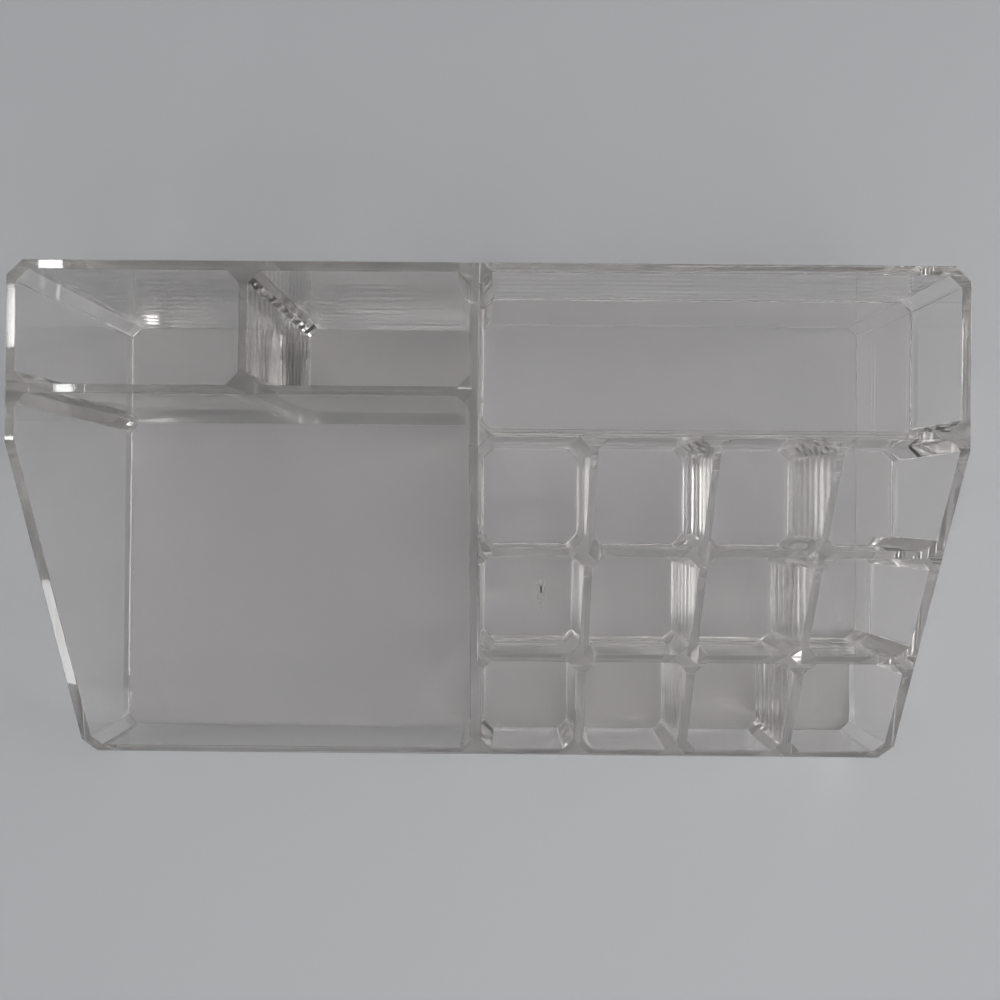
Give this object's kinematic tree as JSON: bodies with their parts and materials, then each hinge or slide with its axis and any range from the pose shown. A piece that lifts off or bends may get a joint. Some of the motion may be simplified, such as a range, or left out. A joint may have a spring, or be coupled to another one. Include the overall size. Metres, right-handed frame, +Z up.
{
  "type": "vanity organizer",
  "caption": "Clear moulded vanity organizer with a sloped rim: open bays on the left, a long tray at the back right and stepped rows of square lipstick cells in front of it.",
  "frame": {"origin": "middle of the flat base, on the surface it stands on", "axes": "+X to the right seen from the low front side, +Y to the high back wall, +Z up"},
  "size_m": [0.228, 0.1274, 0.075],
  "materials": {
    "clear_plastic": "clear, polished, colourless"
  },
  "bodies": {
    "root": {"left_wall": "clear_plastic", "right_wall": "clear_plastic", "back_wall": "clear_plastic", "front_wall": "clear_plastic", "main_partition": "clear_plastic", "cross_partition": "clear_plastic", "back_divider": "clear_plastic", "left_floor": "clear_plastic", "tray_floor": "clear_plastic", "first_row_floor": "clear_plastic", "second_row_floor": "clear_plastic", "third_row_floor": "clear_plastic", "tray_front_wall": "clear_plastic", "second_row_wall": "clear_plastic", "third_row_wall": "clear_plastic", "column_wall_1": "clear_plastic", "column_wall_2": "clear_plastic", "column_wall_3": "clear_plastic", "left_bay_fillets": "clear_plastic", "tray_fillets": "clear_plastic", "first_row_fillets": "clear_plastic", "second_row_fillets": "clear_plastic", "third_row_fillets": "clear_plastic", "underside_fillets": "clear_plastic"}
  },
  "joints": []
}
